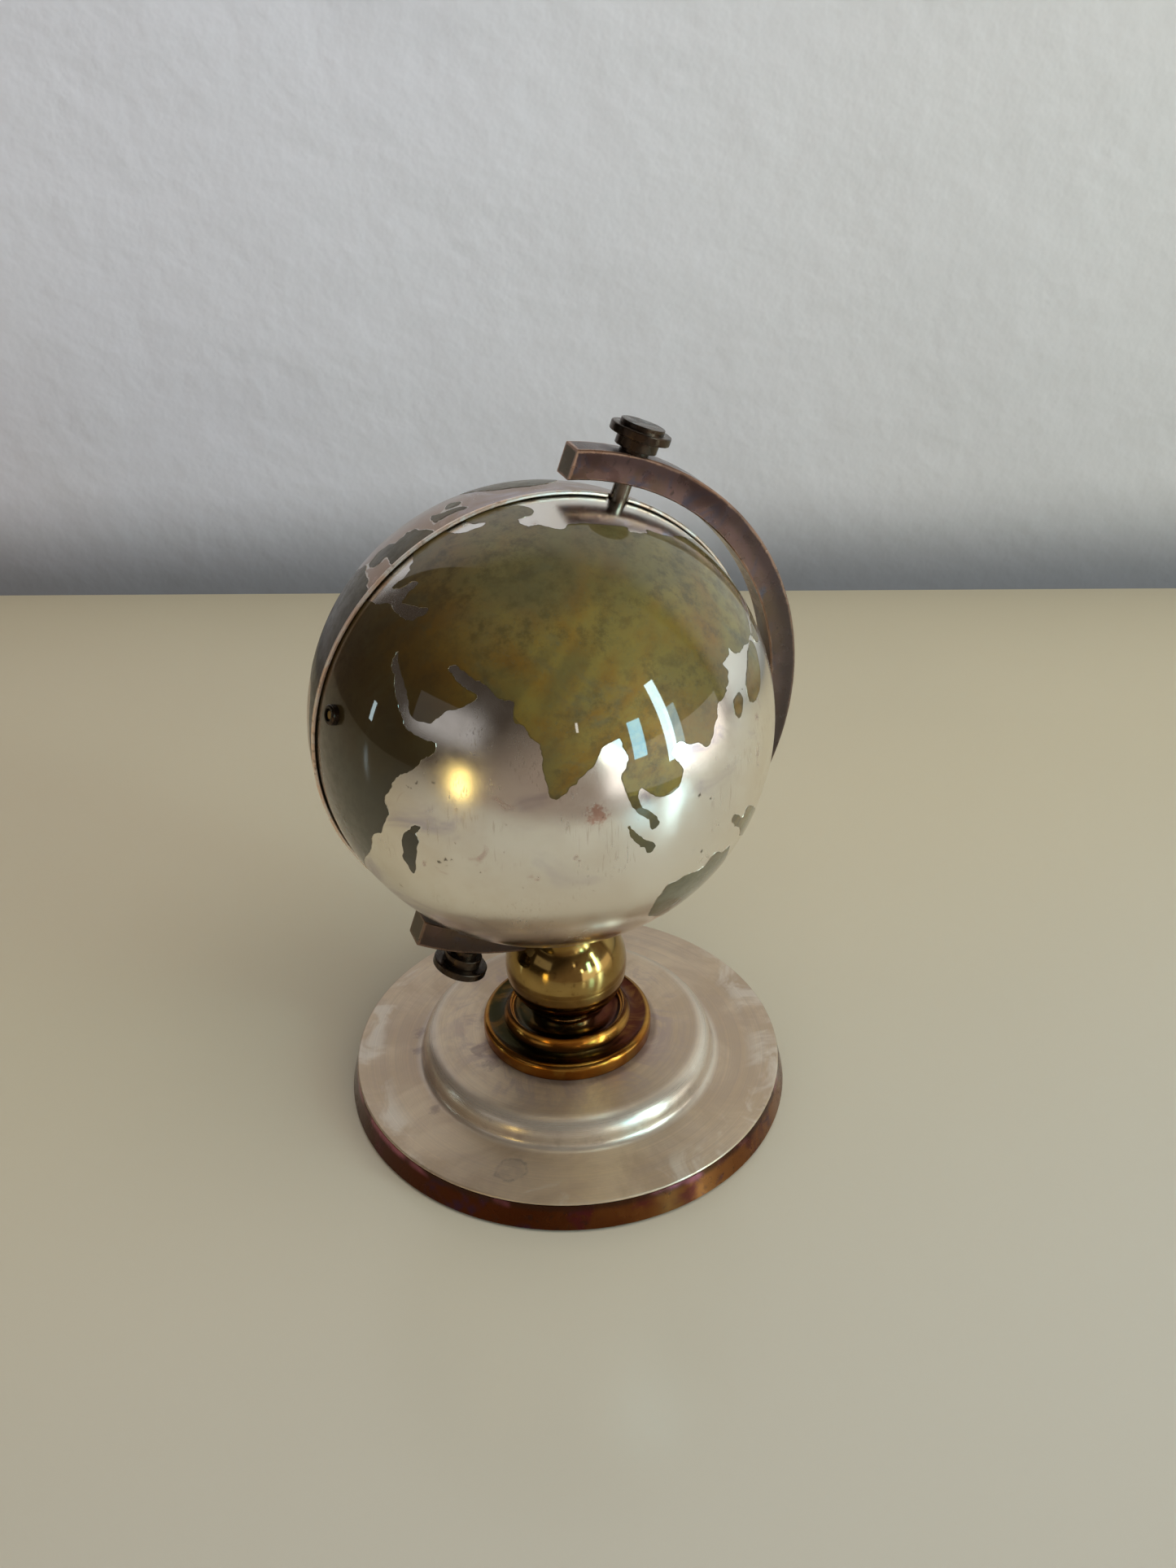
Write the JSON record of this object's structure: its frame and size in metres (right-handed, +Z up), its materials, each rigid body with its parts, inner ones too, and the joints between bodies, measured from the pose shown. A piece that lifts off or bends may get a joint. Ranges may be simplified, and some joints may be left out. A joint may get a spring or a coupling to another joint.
{
  "type": "desktop globe box",
  "caption": "Metal desktop globe on a turned stand: tilted in a half-ring arm between two thumbscrews, with a front half shell that rolls back to open it as a box.",
  "frame": {"origin": "middle of the base's underside, on the surface it stands on", "axes": "+Z up along the stem; the half-ring arm lies in the XZ plane with its middle towards +X, the north pole leans to +X, and the opening half of the globe is on -Y"},
  "size_m": [0.1097, 0.107, 0.1642],
  "materials": {
    "felt": "felt",
    "copper": "tarnished copper, polished",
    "silver_plate": "worn silver plate, tarnished",
    "steel": "plain",
    "collar_brass": "tarnished, turned",
    "ball_brass": "polished",
    "dark_bronze": "dark patina",
    "black_bronze": "near black patina",
    "pin_metal": "polished, tarnished",
    "rim_copper": "plate worn to copper",
    "raw_brass": "plain"
  },
  "bodies": {
    "stand": {"felt_pad": "felt", "base_disc": "copper", "base_cover": "silver_plate", "tie_washer": "steel", "tie_screw": "steel", "stem_collar": "collar_brass", "neck_ring": "collar_brass", "stem_ball": "ball_brass", "meridian_arm": "dark_bronze"},
    "upper_thumbscrew": {"upper_knob": "black_bronze", "upper_pin": "pin_metal"},
    "lower_thumbscrew": {"lower_knob": "black_bronze", "lower_pin": "pin_metal"},
    "rear_half": {"rear_shell": "silver_plate", "rim_left": "rim_copper", "rim_right": "rim_copper", "upper_lug": "raw_brass", "lower_lug": "raw_brass", "upper_washer": "steel", "lower_washer": "steel"},
    "front_half": {"front_shell": "silver_plate", "thumb_button": "black_bronze", "button_rivet": "raw_brass"}
  },
  "joints": [
    {"name": "upper_knob_turn", "type": "hinge", "parent": "stand", "child": "upper_thumbscrew", "pos_m": [-0.0038, 0, 0.10129], "axis": [0.3486, 0, 0.9373], "continuous": true},
    {"name": "lower_knob_turn", "type": "hinge", "parent": "stand", "child": "lower_thumbscrew", "pos_m": [-0.0038, 0, 0.10129], "axis": [0.3486, 0, 0.9373], "continuous": true},
    {"name": "globe_spin", "type": "hinge", "parent": "stand", "child": "rear_half", "pos_m": [-0.0038, 0, 0.10129], "axis": [0.3486, 0, 0.9373], "continuous": true},
    {"name": "shell_roll", "type": "hinge", "parent": "rear_half", "child": "front_half", "pos_m": [-0.0038, 0, 0.10129], "axis": [0.3486, 0, 0.9373], "range_deg": [0, 165]}
  ]
}
